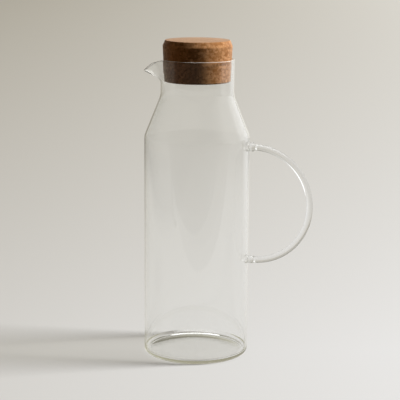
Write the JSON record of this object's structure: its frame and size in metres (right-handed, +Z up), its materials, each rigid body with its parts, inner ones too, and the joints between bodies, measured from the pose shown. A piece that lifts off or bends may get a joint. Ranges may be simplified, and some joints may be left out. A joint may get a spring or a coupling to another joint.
{
  "type": "handled glass bottle",
  "caption": "Clear glass carafe with a straight round body, sloping shoulder, pulled pouring lip, thin bent-rod handle and a tapered cork bung in its mouth.",
  "frame": {"origin": "centre of the flat underside, on the vessel's axis, on the table plane", "axes": "+Z up along the vessel's axis; +X towards the handle; the pouring lip points to -X; +Y completes the right-handed frame"},
  "size_m": [0.1418, 0.085, 0.2567],
  "materials": {
    "clear_glass": "polished",
    "cork": "matte agglomerated cork"
  },
  "bodies": {
    "vessel": {"glass_vessel": "clear_glass", "handle_rod": "clear_glass", "upper_weld_bead": "clear_glass", "lower_weld_bead": "clear_glass"},
    "stopper": {"cork_stopper": "cork"}
  },
  "joints": [
    {"name": "stopper_lift", "type": "slide", "parent": "vessel", "child": "stopper", "axis": [0, 0, 1], "range_m": [0, 0.1]}
  ]
}
